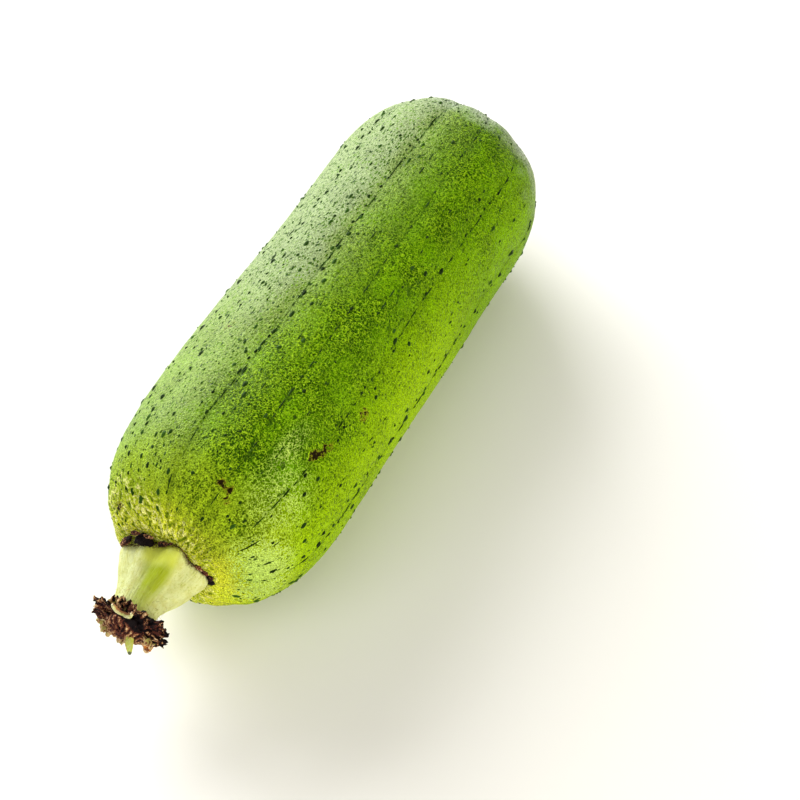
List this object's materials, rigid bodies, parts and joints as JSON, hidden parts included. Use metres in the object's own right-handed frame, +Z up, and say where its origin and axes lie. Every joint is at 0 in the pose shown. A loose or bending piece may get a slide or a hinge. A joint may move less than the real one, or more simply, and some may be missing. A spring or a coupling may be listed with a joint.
{
  "type": "sponge gourd",
  "caption": "Short stocky smooth sponge gourd lying on its side, with its pale fluted neck and withered flower at one end and a cut stalk stub at the other.",
  "frame": {"origin": "on the surface that the gourd lies on, under the middle of its bounding box", "axes": "+X along the gourd towards the stalk end, +Z up, the blossom end with the neck and withered flower towards -X"},
  "size_m": [0.248, 0.0766, 0.0761],
  "materials": {
    "skin": "satin",
    "neck": "matte",
    "dried_flower": "matte",
    "calyx": "matte",
    "stalk": "matte"
  },
  "bodies": {
    "root": {"gourd_fruit": "skin", "blossom_neck": "neck", "withered_flower": "dried_flower", "hanging_calyx_lobe": "calyx", "curled_calyx_lobe": "calyx", "stalk_stub": "stalk"}
  },
  "joints": []
}
